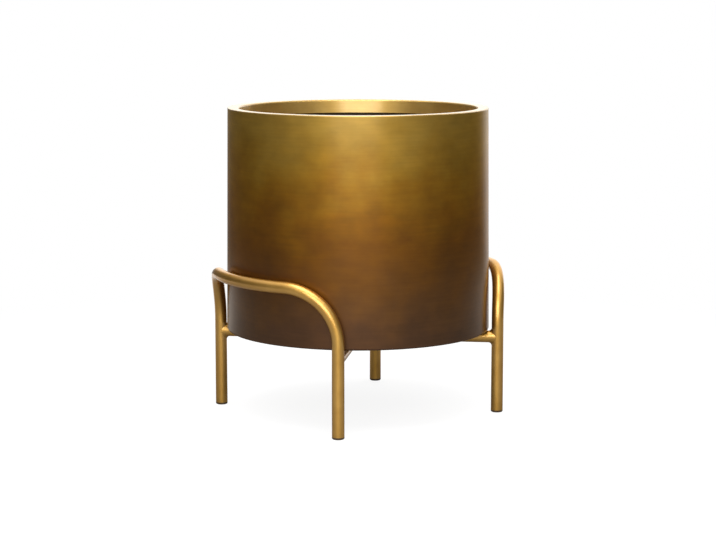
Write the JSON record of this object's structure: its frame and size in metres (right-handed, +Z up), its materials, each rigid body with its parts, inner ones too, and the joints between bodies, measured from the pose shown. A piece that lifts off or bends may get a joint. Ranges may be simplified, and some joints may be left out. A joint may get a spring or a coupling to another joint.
{
  "type": "elevated planter",
  "caption": "Round straight-sided metal pot that rests in a low stand of bent tube hoops joined by a welded cross.",
  "frame": {"origin": "on the floor, in the middle of the stand", "axes": "+Z up; one hoop of the stand is at -X and the other at +X, and the legs are on the diagonals"},
  "size_m": [0.3934, 0.353, 0.4085],
  "materials": {
    "pot_finish": "satin brass lacquer over steel sheet, fading from gold at the rim to dark bronze at the base, dark coating inside",
    "stand_finish": "satin gold paint over steel tube",
    "black_rubber": "matt moulded rubber",
    "glide_plastic": "dark brown moulded plastic"
  },
  "bodies": {
    "stand": {"hoop_right": "stand_finish", "hoop_left": "stand_finish", "cross_tube_long": "stand_finish", "cross_tube_half_right": "stand_finish", "cross_tube_half_left": "stand_finish", "rest_pad_1": "black_rubber", "rest_pad_2": "black_rubber", "rest_pad_3": "black_rubber", "rest_pad_4": "black_rubber", "foot_glide_1": "glide_plastic", "foot_glide_2": "glide_plastic", "foot_glide_3": "glide_plastic", "foot_glide_4": "glide_plastic"},
    "pot": {"pot_wall": "pot_finish", "pot_base": "pot_finish", "rim_ring": "pot_finish"},
    "plug": {"drain_plug": "black_rubber"}
  },
  "joints": [
    {"name": "pot_lift", "type": "slide", "parent": "stand", "child": "pot", "axis": [0, 0, 1], "range_m": [0, 0.12]},
    {"name": "plug_lift", "type": "slide", "parent": "pot", "child": "plug", "axis": [0, 0, 1], "range_m": [0, 0.31]}
  ]
}
